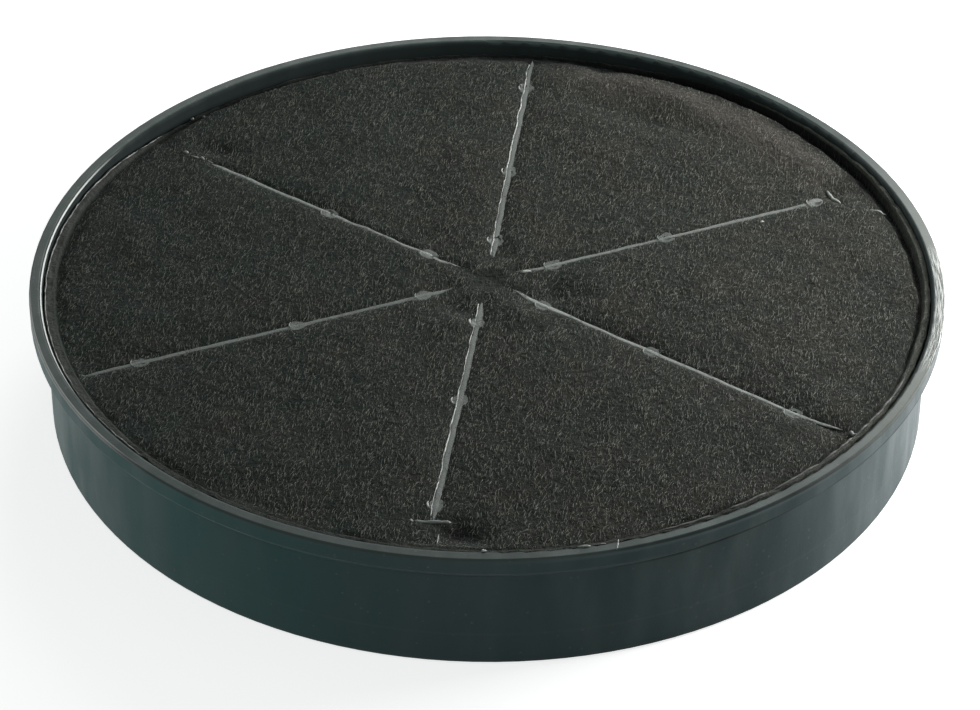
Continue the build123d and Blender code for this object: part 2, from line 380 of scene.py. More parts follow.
def housing_plastic():
    """Satin black polypropylene with a green cast, drawn with flow streaks down its wall, and with painted shade,
    painted highlights, painted glints and painted cool light at the left.
    """
    material, tree, shader = new_material("housing_plastic")
    place = millimetres(tree)
    here = use_group(tree, POLAR, place)
    angle, radius, level = here["Angle"], here["Radius"], here["Level"]
    behind = sums(tree, "SUBTRACT", math.pi, sums(tree, "ABSOLUTE", angle))
    marks = use_group(tree, SCUFFS, place, Speck_size=1.3, Grain_size=0.45)

    # Streaks lie on a cylinder unrolled by angle, long down the wall and narrow round it
    round_wall, down_wall = times(tree, angle, 13.0), times(tree, level, 0.03)
    unrolled = wire(tree, "ShaderNodeCombineXYZ", {0: round_wall, 1: down_wall}).outputs[0]
    streak = noise(tree, unrolled, 1.0, 4.0)

    # Where the moulding's parts are
    on_rim = fade(tree, level, RIM_TOP - 0.9, RIM_TOP - 0.3)
    on_flat = times(tree, on_rim, fade(tree, radius, 102.6, 102.9))
    crease_highlight = band(tree, level, (7.6, 7.95), (8.1, 8.6))
    inside = times(tree, fade(tree, radius, 102.2, 102.7, 1.0, 0.0), fade(tree, level, 25.0, 26.0))
    under_lip = band(tree, level, (22.6, 23.4), (27.0, 27.8))
    outer_edge = times(tree, fade(tree, radius, 104.45, 104.7), fade(tree, level, 30.4, 30.8))
    inner_line = times(tree, on_rim, band(tree, radius, (102.15, 102.22), (102.42, 102.52)))
    inner_round = times(tree, on_rim, fade(tree, radius, 102.6, 102.8, 1.0, 0.0))

    # Dull places, also painted near black as painted shade: under the lip, along the outer edge, the front right
    # wall and the near rim
    near_left = beside(tree, angle, -2.72, (0.2, 0.4))
    dull_shaded_edge = times(tree, outer_edge, sums(tree, "SUBTRACT", 1.0, near_left))
    front_right = beside(tree, angle, -0.65, (0.45, 0.85), (1.0, 0.12))
    under_rim = times(tree, largest(tree, under_lip, dull_shaded_edge), front_right)
    below_rim = fade(tree, level, 29.5, 30.5, 1.0, 0.0)
    matt_shaded_wall = times(tree, beside(tree, angle, -1.15, (0.15, 0.55), (0.5, 0.0)), below_rim)
    near_rim = times(tree, beside(tree, angle, -2.0, (0.4, 1.0), (0.3, 0.0)), on_rim)
    dull_and_shaded = largest(tree, under_rim, matt_shaded_wall, near_rim)

    # The rim is scratched round and round at one side, where a pale patch is painted on as a painted highlight and
    # the brighter scratches as painted glints
    round_rim = {0: times(tree, angle, 26.0), 1: times(tree, radius, 15.0), 2: level}
    scratch = noise(tree, wire(tree, "ShaderNodeCombineXYZ", round_rim).outputs[0], 1.0, 2.0)
    highlight_side = times(tree, on_flat, beside(tree, angle, -0.13, (0.1, 0.9)))
    worn_glinting_side = times(tree, on_flat, beside(tree, angle, -0.13, (0.17, 0.27)))
    glinting_score = times(tree, worn_glinting_side, fade(tree, scratch, 0.52, 0.58))
    furrow = times(tree, worn_glinting_side, fade(tree, scratch, 0.44, 0.49, 1.0, 0.0))

    # Opposite, its inner edge has a thin bright line painted on as a painted highlight, and so has its outer edge
    # at the left; both are also made smoother
    inner_highlight = times(tree, inner_line, fade(tree, behind, 0.25, 0.55, 1.0, 0.0))
    highlight_and_polish = largest(tree, inner_highlight, times(tree, outer_edge, near_left, 0.5))
    dull_round = times(tree, inner_round, fade(tree, behind, 0.3, 0.6, 0.9, 0.0))
    inner = times(tree, largest(tree, dull_round, inside), sums(tree, "SUBTRACT", 1.0, highlight_and_polish))

    colour = layered(
        tree,
        mix_colours(tree, mottle(tree, place, 18.0, 0.9), (0.002, 0.014, 0.017), (0.005, 0.022, 0.025)),
        (fade(tree, streak, 0.48, 0.80, 0.0, 0.6), (0.018, 0.042, 0.043)),
        # Painted cool light: the wall greener and lighter at the left
        (beside(tree, angle, -2.6, (0.2, 1.0), (0.75, 0.0)), (0.0, 0.088, 0.084)),  # greener at the left
        (on_rim, (0.005, 0.009, 0.007)),
        (times(tree, marks["Specks"], 0.35), (0.10, 0.11, 0.105)),
        # Painted highlight: a faint lighter band along the draft break 8 mm up the wall
        (times(tree, crease_highlight, 0.14), (0.05, 0.065, 0.065)),
        # Painted shade: the rim's inside and the dull places near black
        (largest(tree, inside, dull_and_shaded), (0.001, 0.003, 0.003)),
        # Painted highlight at the rim's right, and painted glints on its scratches
        (times(tree, highlight_side, 0.75), (0.20, 0.205, 0.19)),
        (glinting_score, (0.60, 0.60, 0.58)),
        (times(tree, furrow, 0.9), (0.02, 0.02, 0.02)),
        # Painted highlight: the thin bright lines on the rim's edges
        (times(tree, highlight_and_polish, 0.9), (0.85, 0.85, 0.82)),
    )

    grain = marks["Grain"]
    rough = sums(tree, "ADD", fade(tree, streak, 0.3, 0.7, 0.44, 0.30), times(tree, grain, 0.10))
    polished = times(tree, rough, fade(tree, highlight_and_polish, 0.0, 1.0, 1.0, 0.35))
    duller = times(tree, largest(tree, dull_and_shaded, inner), 0.45)
    skin = sums(tree, "ADD", grain, times(tree, streak, 1.2))
    skin_and_scratches = sums(tree, "ADD", skin, times(tree, scratch, on_rim, 0.7))
    shader.inputs["Specular IOR Level"].default_value = 0.40
    shader.inputs["Specular Tint"].default_value = (0.84, 1.0, 0.97, 1)
    plug(tree, shader, {
        "Base Color": colour,
        "Roughness": sums(tree, "ADD", polished, duller),
        "Normal": relief(tree, skin_and_scratches, 0.25, 0.00012),
    })
    return material


def fleece_felt(name, dark, light, low, puffed):
    """Needled charcoal fleece: dark felt, paler strands, faint clouds of tint, painted light toward the right, and
    painted shade below a level and at the far right margin.
    """
    material, tree, shader = new_material(name)
    place = millimetres(tree)
    here = use_group(tree, POLAR, place)
    angle, radius, across, level = here["Angle"], here["Radius"], here["Across"], here["Level"]
    behind = sums(tree, "SUBTRACT", math.pi, sums(tree, "ABSOLUTE", angle))
    pressed = fade(tree, radius, 98.5, 100.1)
    hard = times(tree, pressed, fade(tree, behind, 0.45, 0.8, 1.0, 0.0), fade(tree, radius, 99.2, 100.4))
    far_puff = times(tree, band(tree, angle, (0.30, 0.65), (1.25, 1.50)), fade(tree, radius, 80.0, 90.0))
    puff = times(tree, far_puff, fade(tree, radius, 94.5, 98.0, 0.6 * puffed, 0.0))

    aside = wire(tree, "ShaderNodeVectorMath", {0: place, 1: (61.0, -37.0, 0.0)}, operation="ADD").outputs[0]
    brown, green = mottle(tree, place, 17.0, 0.9), mottle(tree, aside, 11.0, 0.9)
    cloud, pill = mottle(tree, aside, 5.0, 1.1), mottle(tree, place, 1.1, 0.8)
    # Browner and paler toward the right, partly the fleece's tint and partly painted light from the right; greener
    # toward the left
    brown_and_right_light = times(tree, brown, fade(tree, across, -90.0, 90.0, 0.2, 0.7))
    to_green = times(tree, green, fade(tree, across, -90.0, 90.0, 1.0, 0.35))
    web = times(tree, use_group(tree, WEB, place)["Web"], fade(tree, hard, 0.0, 1.0, 1.0, 0.2))
    strand_tone = mix_colours(tree, brown, (0.056, 0.064, 0.052), (0.074, 0.068, 0.055))
    # The pressed edge band, painted much paler toward the right as painted light
    lit_rightward = fade(tree, across, 40.0, 95.0)
    edge_tone_and_light = mix_colours(tree, lit_rightward, (0.055, 0.058, 0.052), (0.150, 0.155, 0.135))
    colour = layered(
        tree,
        mix_colours(tree, pill, dark, light),
        (brown_and_right_light, (0.023, 0.020, 0.016)),
        (to_green, (0.006, 0.014, 0.012)),
        (times(tree, cloud, 0.25), (0.026, 0.025, 0.022)),
        # Strands show more toward the right: painted light
        (times(tree, web, fade(tree, across, -95.0, 20.0, 0.40, 0.60)), strand_tone),
        (times(tree, pressed, 0.5), edge_tone_and_light),
        (times(tree, hard, 0.7), (0.080, 0.082, 0.074)),
        (puff, (0.062, 0.054, 0.046)),
        # Painted shade low down in the trough, and where the margin rolls out of the light
        (fade(tree, level, low, low + 1.1, 0.95, 0.0), (0.0015, 0.002, 0.002)),
        (use_group(tree, SHADED_MARGIN, place, Amount=puffed)["Shade"], (0.0015, 0.002, 0.002)),
    )

    shader.inputs["Roughness"].default_value = 0.92
    shader.inputs["Specular IOR Level"].default_value = 0.08
    shader.inputs["Sheen Weight"].default_value = 0.04
    shader.inputs["Sheen Roughness"].default_value = 0.5
    nap = sums(tree, "ADD", times(tree, web, 0.6), pill)
    plug(tree, shader, {"Base Color": colour, "Normal": relief(tree, nap, 0.6, 0.0003)})
    return material


def weld_plastic(name, dark, pale, glint, smooth):
    """Plastic melted up through the fleece: smeared grey, with glints."""
    material, tree, shader = new_material(name)
    place = millimetres(tree)
    marks = use_group(tree, SCUFFS, place, Speck_size=0.5, Grain_size=0.35)
    smear, stretch = mottle(tree, place, 1.3, 0.9), mottle(tree, place, 9.0, 1.0)
    mixed = sums(tree, "ADD", times(tree, smear, 0.6), times(tree, stretch, 0.4))
    plug(tree, shader, {
        "Base Color": layered(tree, mix_colours(tree, mixed, dark, pale), (marks["Specks"], glint)),
        "Roughness": sums(tree, "ADD", times(tree, smear, 0.2), smooth),
        "Normal": relief(tree, marks["Grain"], 0.45, 0.0003),
    })
    return material


def fused_fleece(name, dark, pale, rough):
    """The fleece's cut edge, pressed and melted to a thin hard line."""
    material, tree, shader = new_material(name)
    worn = mottle(tree, millimetres(tree), 1.6, 0.8)
    plug(tree, shader, {
        "Base Color": mix_colours(tree, worn, dark, pale),
        "Roughness": fade(tree, worn, 0.0, 1.0, rough, rough - 0.2),
    })
    return material


def loose_fibre():
    """Pale synthetic fibre, each strand a little lighter or darker than the next, with painted shade toward the
    left, low down and where the margin rolls out of the light.
    """
    material, tree, shader = new_material("loose_fibre")
    place = millimetres(tree)
    here = use_group(tree, POLAR, place)
    shade = mottle(tree, place, 2.2, 1.0)
    # Painted shade: the strands darker toward the left
    lightness_and_shade = times(tree, shade, fade(tree, here["Across"], -95.0, 25.0, 0.72, 1.0))
    colour = layered(
        tree,
        mix_colours(tree, lightness_and_shade, (0.028, 0.031, 0.026), (0.19, 0.19, 0.160)),
        # Painted shade low down and where the margin rolls out of the light
        (fade(tree, here["Level"], 27.4, 28.3, 0.9, 0.0), (0.002, 0.002, 0.002)),
        (use_group(tree, SHADED_MARGIN, place, Amount=1.0)["Shade"], (0.003, 0.003, 0.003)),
    )
    shader.inputs["Specular IOR Level"].default_value = 0.3
    plug(tree, shader, {"Base Color": colour, "Roughness": fade(tree, shade, 0.0, 1.0, 0.6, 0.4)})
    return material


def carbon_grain():
    """Loose activated carbon: matt black granules with a few bright faces."""
    material, tree, shader = new_material("carbon_grain")
    grains = wire(tree, "ShaderNodeTexVoronoi", {"Vector": millimetres(tree), "Scale": 0.5}).outputs
    tone = wire(tree, "ShaderNodeSeparateColor", {"Color": grains["Color"]}).outputs[0]
    plug(tree, shader, {
        "Base Color": mix_colours(tree, tone, (0.008, 0.008, 0.009), (0.045, 0.046, 0.048)),
        "Roughness": fade(tree, tone, 0.6, 1.0, 0.9, 0.45),
        "Normal": relief(tree, grains["Distance"], 1.0, 0.0012, invert=True),
    })
    return material


HOUSING = housing_plastic()
UPPER_FELT = fleece_felt("upper_fleece_felt", (0.0045, 0.0065, 0.005), (0.014, 0.0165, 0.0125), 27.2, 1.0)
LOWER_FELT = fleece_felt("lower_fleece_felt", (0.006, 0.008, 0.007), (0.018, 0.019, 0.017), 0.0, 0.0)

# Melted plastic: name, dark tone, pale tone, glint and least roughness
WELD_DIM, WELD, WELD_PALE, WELD_FLASH_GLINT, WELD_PAD = (
    weld_plastic(name, dark, pale, glint, smooth)
    for name, dark, pale, glint, smooth in (
        ("weld_dim", (0.044, 0.050, 0.045), (0.100, 0.110, 0.098), (0.20, 0.21, 0.20), 0.38),
        ("weld_plastic", (0.062, 0.068, 0.061), (0.150, 0.160, 0.146), (0.26, 0.27, 0.25), 0.32),
        ("weld_pale", (0.10, 0.108, 0.098), (0.27, 0.285, 0.26), (0.50, 0.51, 0.48), 0.28),
        # The flash finish's pale tone and glints are painted glints
        ("weld_flash_glint", (0.14, 0.15, 0.135), (0.60, 0.61, 0.57), (0.85, 0.85, 0.82), 0.18),
        ("weld_pad", (0.036, 0.042, 0.037), (0.084, 0.092, 0.082), (0.12, 0.13, 0.12), 0.45),
    )
)
# The hard cut edge's pale tone is partly a painted highlight along the left cut edge
FUSED_HARD = fused_fleece("fused_fleece_hard", (0.050, 0.050, 0.047), (0.36, 0.36, 0.34), 0.40)
FUSED_SOFT = fused_fleece("fused_fleece_soft", (0.030, 0.031, 0.027), (0.075, 0.078, 0.070), 0.75)
FIBRE = loose_fibre()
CARBON = carbon_grain()

# Each crest's line, the lumps by its posts and how thick they are, and its T bar
CREST_FINISHES = {
    "a": (WELD_DIM, WELD_FLASH_GLINT, 0.25, None),
    "b": (WELD, WELD_PALE, 0.16, WELD_PALE),
    "c": (WELD_PALE, WELD_PALE, 0.16, None),
    "d": (WELD_DIM, WELD_FLASH_GLINT, 0.25, WELD),
    "e": (WELD_DIM, WELD_PALE, 0.16, None),
    "f": (WELD_PALE, WELD_PALE, 0.16, None),
}
CLEAN_POST = ("b", 2)  # the one post whose head isn't dulled by fibres


# Shapes


def soft_noise(x, y, size, seed):
    """Smooth random height from -1 to 1 on a lattice of the size, in millimetres."""
    lattice = np.random.default_rng(seed).uniform(-1, 1, (256, 256))
    u, v = x / size + 100.0, y / size + 100.0
    i, j = np.floor(u).astype(int), np.floor(v).astype(int)
    fu, fv = u - i, v - j
    fu, fv = fu * fu * (3 - 2 * fu), fv * fv * (3 - 2 * fv)
    low = lattice[i % 256, j % 256] * (1 - fu) + lattice[(i + 1) % 256, j % 256] * fu
    high = lattice[i % 256, (j + 1) % 256] * (1 - fu) + lattice[(i + 1) % 256, (j + 1) % 256] * fu
    return low * (1 - fv) + high * fv


def ease(value, low, high):
    """Smooth step from 0 at low to 1 at high."""
    t = np.clip((value - low) / (high - low), 0, 1)
    return t * t * (3 - 2 * t)


def margin_at(x, y):
    """The margin's measures at each point's bearing."""
    bearing = np.degrees(np.arctan2(x, y)) % 360
    return [np.interp(bearing, MARGIN[:, 0], column, period=360) for column in MARGIN.T[1:]]


def seam_frame(weld):
    """The crest's direction outwards and the direction to its left."""
    a = math.radians(weld["angle"])
    return np.array((math.cos(a), math.sin(a))), np.array((-math.sin(a), math.cos(a)))


def inner_bend(weld, along):
    """How far to the left the crest's inner end is bent, at distances along it."""
    return weld["hook"] * (1 - ease(along, weld["start"], weld["start"] + 6.0))


def from_crest(x, y):
    """How far outside the moulding's own crests, posts and T bars each point is."""
    turn = (np.arctan2(y, x) - math.radians(DIVIDER_ANGLE) + math.pi / 6) % (math.pi / 3) - math.pi / 6
    radius = np.hypot(x, y)
    along, across = radius * np.cos(turn), np.abs(radius * np.sin(turn))
    past_ends = np.maximum(np.maximum(TUBE_R - along, along - T_BAR_R), 0)
    line = np.hypot(past_ends, np.maximum(across - CREST_HALF, 0))
    bar = np.hypot(np.maximum(np.abs(along - T_BAR_R) - T_BAR_HALF, 0), np.maximum(across - T_BAR_REACH, 0))
    posts = [np.maximum(np.hypot(along - ring, across) - POST_R, 0) for ring in POST_RINGS]
    return np.minimum.reduce([line, bar, *posts])


def fleece_height(x, y):
    """Height of the fleece's upper face at places on it, in millimetres."""
    radius = np.hypot(x, y)
    nearest = np.full(x.shape, 99.0)
    groove = np.zeros(x.shape)
    for weld in WELDS.values():
        (cosine, sine), _ = seam_frame(weld)
        start, end = weld["start"], weld["end"]
        along = x * cosine + y * sine
        leftward = y * cosine - x * sine
        across = np.abs(leftward)
        aside = np.abs(leftward - inner_bend(weld, along))
        held = ease(along, start - 3.0, start + 1.0) * ease(along, end + 2.0, end - 2.0)
        nearest = np.where(along > 0, np.minimum(nearest, across + 3.0 * (1 - held)), nearest)
        groove = np.maximum(groove, held * np.exp(-((aside / (weld["half"] + 0.3)) ** 2)))
        for post in weld["posts"]:
            groove = np.maximum(groove, np.exp(-((np.hypot(along - post, across) / 2.2) ** 4)))
        if weld["bar"]:
            bar_r, bar_width = weld["bar"][:2]
            past = np.maximum(across - bar_width / 2, 0)
            groove = np.maximum(groove, np.exp(-((np.hypot(along - bar_r, past) / 1.2) ** 2)))
    level = FLEECE_LEVEL + 0.65 * (1 - np.exp(-nearest / 6.0)) - 0.38 * groove
    free = ease(nearest, 0.5, 5.0)
    level = level + free * (0.35 * soft_noise(x, y, 17.0, 3) + 0.16 * soft_noise(x, y, 5.5, 4))
    level = level + (0.25 + 0.75 * free) * 0.07 * soft_noise(x, y, 1.9, 5)
    for east, north, size, rise in DIMPLES:
        level = level + rise * np.exp(-((x - east) ** 2 + (y - north) ** 2) / size**2)
    _, lip_r, lip_top, drop_r, drop_run, foot, ridge_r, ridge_rise, ridge_width = margin_at(x, y)
    ridge = ridge_rise * (1 + 0.45 * soft_noise(x, y, 6.0, 6))
    level = level + ridge * np.exp(-(((radius - ridge_r) / ridge_width) ** 2))
    level = np.maximum(level, CREST_TOP + 0.05 - 0.5 * from_crest(x, y))
    drop = ease(radius + 0.5 * soft_noise(x, y, 4.0, 7), drop_r, drop_r + drop_run)
    level = level + (foot + 0.12 * soft_noise(x, y, 1.6, 11) - level) * drop
    lip = ease(radius + 0.12 * soft_noise(x, y, 2.4, 12), lip_r - 0.35, lip_r + 0.3)
    level = level + (lip_top + 0.22 * soft_noise(x, y, 2.2, 13) - level) * lip
    return np.maximum(level, LEDGE + 0.25)


def mesh_piece(name, points, faces, finishes, finish_of=None):
    """A piece of the filter from points in millimetres, riding on its one body."""
    mesh = bpy.data.meshes.new(name)
    mesh.from_pydata((np.asarray(points) * MM).tolist(), [], faces)
    mesh.polygons.foreach_set("use_smooth", [True] * len(mesh.polygons))
    for finish in finishes:
        mesh.materials.append(finish)
    if finish_of:
        mesh.polygons.foreach_set("material_index", finish_of)
    mesh.validate()
    mesh.update()
    piece = bpy.data.objects.new(name, mesh)
    bpy.context.scene.collection.objects.link(piece)
    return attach(piece, "root")


def band_faces(first, second, count):
    """Quads between two closed rows of points that start at these numbers."""
    return [(first + i, first + (i + 1) % count, second + (i + 1) % count, second + i) for i in range(count)]


def fleece_columns(radius):
    """Angles of the fleece's mesh columns at a radius, fine beside each crest."""
    fine = np.array((0.0, 0.35, 0.7, 1.05, 1.5, 2.2, 3.2, 4.5))
    length = radius * math.pi / 3
    zone = min(fine[-1], 0.32 * length)
    near = fine * zone / fine[-1]
    middle = np.linspace(zone, length - zone, 81)[1:-1]
    across = np.concatenate((near, middle, (length - near[::-1])[:-1]))
    sector = across / radius
    return np.concatenate([math.radians(DIVIDER_ANGLE) + math.pi / 3 * k + sector for k in range(6)])


def upper_fleece():
    """One disc of fleece, dished between the crests, its cut edge rough and turned up at the rim."""
    open_rings = np.linspace(1.0, MARGIN_START_R, 98)
    slope_rings = np.linspace(MARGIN_START_R, 97.0, 16)[1:]
    edge_rings = np.linspace(97.0, CUT_EDGE_R, 25)[1:]
    crown = float(fleece_height(np.zeros(1), np.zeros(1))[0])
    points, faces, starts = [np.array([[0, 0, crown]])], [], []
    count = len(fleece_columns(10.0))
    for radius in np.concatenate((open_rings, slope_rings, edge_rings)):
        angle = fleece_columns(radius)
        x, y = radius * np.cos(angle), radius * np.sin(angle)
        edge_r = margin_at(x, y)[0] + 0.22 * soft_noise(x, y, 2.3, 8) + 0.15 * soft_noise(x, y, 0.9, 9)
        edge_r = np.minimum(edge_r, CUT_EDGE_MOST)
        shrink = 1 + max(radius - MARGIN_START_R, 0) / MARGIN_RUN * (edge_r - CUT_EDGE_R) / radius
        x, y = x * shrink, y * shrink
        frayed = ease(np.full(x.shape, radius), 97.5, CUT_EDGE_R) * 0.16 * soft_noise(x, y, 1.3, 10)
        starts.append(sum(len(p) for p in points))
        points.append(np.stack((x, y, fleece_height(x, y) + frayed), 1))

    # The underside: how far in from the cut edge each ring is, and how much of its height it keeps
    rim = points[-1]
    for inset, share in ((0.0, 0.45), (0.25, 0.05), (1.2, 0.0), (14.0, 0.0), (45.0, 0.0), (90.0, 0.0)):
        scale = 1 - inset / np.hypot(rim[:, 0], rim[:, 1])
        under = np.minimum(LEDGE + 0.02 + share * (rim[:, 2] - LEDGE), rim[:, 2] - 0.2)
        starts.append(sum(len(p) for p in points))
        points.append(np.stack((rim[:, 0] * scale, rim[:, 1] * scale, under), 1))
    middle = sum(len(p) for p in points)
    points.append(np.array([[0, 0, LEDGE]]))
    faces += [(0, 1 + i, 1 + (i + 1) % count) for i in range(count)]
    for first, second in zip(starts, starts[1:]):
        faces += [tuple(reversed(face)) for face in band_faces(first, second, count)]
    faces += [(middle, starts[-1] + (i + 1) % count, starts[-1] + i) for i in range(count)]
    piece = mesh_piece("upper_fleece_disc", np.concatenate(points), faces, [UPPER_FELT])
    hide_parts("upper_fleece")


def tube_faces(rows, sides):
    """Closed tubes: faces for rows of points round a section, with its two ends."""
    faces = []
    for row in range(rows - 1):
        faces += [tuple(reversed(face)) for face in band_faces(row * sides, (row + 1) * sides, sides)]
    faces.append(tuple(range(sides)))
    faces.append(tuple(reversed(range((rows - 1) * sides, rows * sides))))
    return faces


def wave(along, size, seed):
    """Smooth random run from -1 to 1 along a line."""
    return soft_noise(along, along * 0, size, seed)


def melt_level(line):
    """Height that melted plastic lies at: on the crest, or on the fleece where that covers it."""
    return np.maximum(CREST_TOP, fleece_height(line[:, 0], line[:, 1])) - 0.05


def weld_bead(weld, seed):
    """The crest's line of melted plastic, its width and side to side place wandering."""
    along = np.arange(weld["start"], weld["end"], 0.4)
    forward, side = seam_frame(weld)
    wander = 0.15 * wave(along, 4.0, seed) + 0.04 * wave(along, 1.1, seed + 1) + inner_bend(weld, along)
    wander = wander + weld["tail"] * ease(along, weld["end"] - 14.0, weld["end"] + 2.0)
    half = weld["half"] + 0.05 * wave(along, 1.9, seed + 2) + 0.10 * wave(along, 5.0, seed + 3)
    tall = 0.19 + 0.04 * wave(along, 2.8, seed + 4)
    ends = np.clip(np.minimum(along - along[0], along[-1] - along) / 5.0, 0.01, 1) ** 0.75
    section = ((-1.0, -0.6), (-1.0, 0.25), (-0.6, 0.9), (0.0, 1.0), (0.6, 0.8), (1.0, 0.2), (1.0, -0.6))
    line = along[:, None] * forward + wander[:, None] * side
    base = melt_level(line)
    rows = []
    for across, up in section:
        flat = line + (across * half * ends)[:, None] * side
        rows.append(np.column_stack((flat, base + up * tall * ends)))
    return np.stack(rows, 1).reshape(-1, 3), tube_faces(len(along), len(section))


def thin_tube(line, height, thick):
    """A thin round bead along points, as thick at each as it says."""
    run = np.gradient(line, axis=0)
    run = run / np.maximum(np.linalg.norm(run, axis=1), 1e-6)[:, None]
    side = np.column_stack((-run[:, 1], run[:, 0]))
    rows = []
    for turn in np.linspace(0, 2 * math.pi, 6, endpoint=False):
        flat = line - side * (thick * math.cos(turn))[:, None]
        rows.append(np.column_stack((flat, height + thick * math.sin(turn))))
    return np.stack(rows, 1).reshape(-1, 3), tube_faces(len(line), 6)


FLASH_SEED = 60  # a flash's seed less its line's, so that the two wander together


def weld_flash_edge(weld, seed):
    """The thin ragged flash along one side of a line, painted bright as a painted glint."""
    along = np.arange(weld["start"] + 1.6, weld["end"] - 2.0, 0.3)
    forward, side = seam_frame(weld)
    with_line = 0.15 * wave(along, 4.0, seed - FLASH_SEED) + 0.04 * wave(along, 1.1, seed - FLASH_SEED + 1)
    wander = with_line + 0.07 * wave(along, 1.1, seed) + inner_bend(weld, along)
    line = along[:, None] * forward + (wander + weld["flash"] * weld["half"] * 0.92)[:, None] * side
    thick = 0.07 + 0.11 * ease(wave(along, 2.6, seed + 1) + 0.6 * wave(along, 9.0, seed + 2), -0.7, 0.7)
    return thin_tube(line, melt_level(line) + 0.12, thick)


def weld_post(weld, radius, seed):
    """A post's head, pressed to a low dished pad over the crest."""
    forward, _ = seam_frame(weld)
    turn = np.linspace(0, 2 * math.pi, 28, endpoint=False)
    uneven = 1 + 0.11 * np.cos(2 * (turn - math.radians(weld["angle"])))
    uneven = uneven + 0.16 * wave(np.cos(turn) * 1.6 + 9, 1.0, seed)
    uneven = uneven + 0.10 * wave(np.sin(turn) * 2.1 + 5, 1.0, seed + 2)
    centre = forward * radius
    rings = ((2.25, -0.18), (2.05, -0.04), (1.8, 0.05), (1.4, 0.10), (0.9, 0.09), (0.4, 0.08))
    points = []
    for size, up in rings:
        ring = centre + (size * uneven)[:, None] * np.column_stack((np.cos(turn), np.sin(turn)))
        height = melt_level(ring) + 0.04 + up + 0.03 * wave(turn * 2 + up, 1.0, seed + 1)
        points.append(np.column_stack((ring, height)))
    return np.concatenate(points), tube_faces(len(rings), len(turn))


def post_flash(weld, radius, bulk, seed):
    """A short lump on the left of a post's head, painted bright as a painted glint."""
    forward, _ = seam_frame(weld)
    turn = np.radians(np.linspace(150, 222, 9))
    line = forward * radius + 1.95 * np.column_stack((np.cos(turn), np.sin(turn)))
    thick = bulk * np.sin(np.linspace(0.35, math.pi - 0.2, 9)) * (1 + 0.3 * wave(turn * 3, 1.0, seed))
    return thin_tube(line, np.full(9, float(np.max(melt_level(line))) + 0.10), thick)


def weld_bar(weld, seed):
    """A T bar's crest, melted like the line and a little bowed."""
    bar_r, width, thick, bent, turn = weld["bar"]
    forward, side = seam_frame(weld)
    along = side * math.cos(turn) + forward * math.sin(turn)
    run = np.linspace(-width / 2, width / 2, 22)
    bow = bent * (run / width) ** 2 + 0.03 * wave(run, 1.2, seed)
    half = thick * (1 + 0.2 * wave(run, 1.1, seed + 1))
    ends = np.sqrt(np.clip((width / 2 - np.abs(run)) / 0.8, 0.05, 1))
    line = run[:, None] * along + (bar_r + bow)[:, None] * forward
    return thin_tube(line, melt_level(line) + 0.05, half * ends)


def plastic_drop(across, away, length, width, turn, seed, level=None):
    """A lump of melted plastic or a stiff crumb of fleece, its longer side across or away."""
    run = np.linspace(-0.5, 0.5, 7)
    heading = (math.cos(turn), math.sin(turn)) if length >= width else (math.sin(turn), math.cos(turn))
    longer, small = max(length, width), min(length, width) / 2
    line = np.column_stack((across + run * longer * heading[0], away + run * longer * heading[1]))
    thick = small * np.sqrt(np.clip(1 - (2.05 * run) ** 2, 0.04, 1)) * (1 + 0.25 * wave(run * 6, 1.0, seed))
    base = melt_level(line) if level is None else np.full(7, level)
    return thin_tube(line, base + 0.5 * small, thick)


def joined_piece(name, solids):
    """One piece from solids that are each a finish, points and faces."""
    finishes, points, faces, finish_of = [], [], [], []
    for finish, (new_points, new_faces) in solids:
        if finish not in finishes:
            finishes.append(finish)
        start = sum(len(p) for p in points)
        points.append(new_points)
        faces += [tuple(start + corner for corner in face) for face in new_faces]
        finish_of += [finishes.index(finish)] * len(new_faces)
    return mesh_piece(name, np.concatenate(points), faces, finishes, finish_of)


def weld_seam(name, weld, seed):
    """All of one crest that shows: its line, its posts, its flash and its T bar."""
    line_finish, lump_finish, lump_thick, bar_finish = CREST_FINISHES[name]
    solids = [(line_finish, weld_bead(weld, seed))]
    if weld["flash"]:
        solids.append((WELD_FLASH_GLINT, weld_flash_edge(weld, seed + FLASH_SEED)))
    for k, radius in enumerate(weld["posts"]):
        head = WELD if (name, k) == CLEAN_POST else WELD_PAD
        solids.append((head, weld_post(weld, radius, seed + 10 + k)))
        if radius < weld["end"]:
            solids.append((lump_finish, post_flash(weld, radius, lump_thick, seed + 30 + k)))
    if bar_finish:
        solids.append((bar_finish, weld_bar(weld, seed + 20)))
    return joined_piece(f"weld_seam_{name}", solids)


def fused_edge(name, first, last, inset, thick, finish, seed):
    """The hard line along the fleece's cut edge, between two bearings, broken here and there."""
    bearing = np.radians(np.arange(first, last, 0.35))
    x, y = np.sin(bearing), np.cos(bearing)
    edge_r = margin_at(x * 100, y * 100)[0] - inset + 0.07 * wave(bearing * 100, 1.5, seed)
    line = np.column_stack((x * edge_r, y * edge_r))
    whole = ease(wave(bearing * 100, 3.0, seed + 1), -0.75, -0.2)
    ends = ease(np.minimum(bearing - bearing[0], bearing[-1] - bearing), 0.0, 0.06)
    points, faces = thin_tube(line, fleece_height(line[:, 0], line[:, 1]) + 0.02, 0.03 + thick * whole * ends)
    return mesh_piece(name, points, faces, [finish])


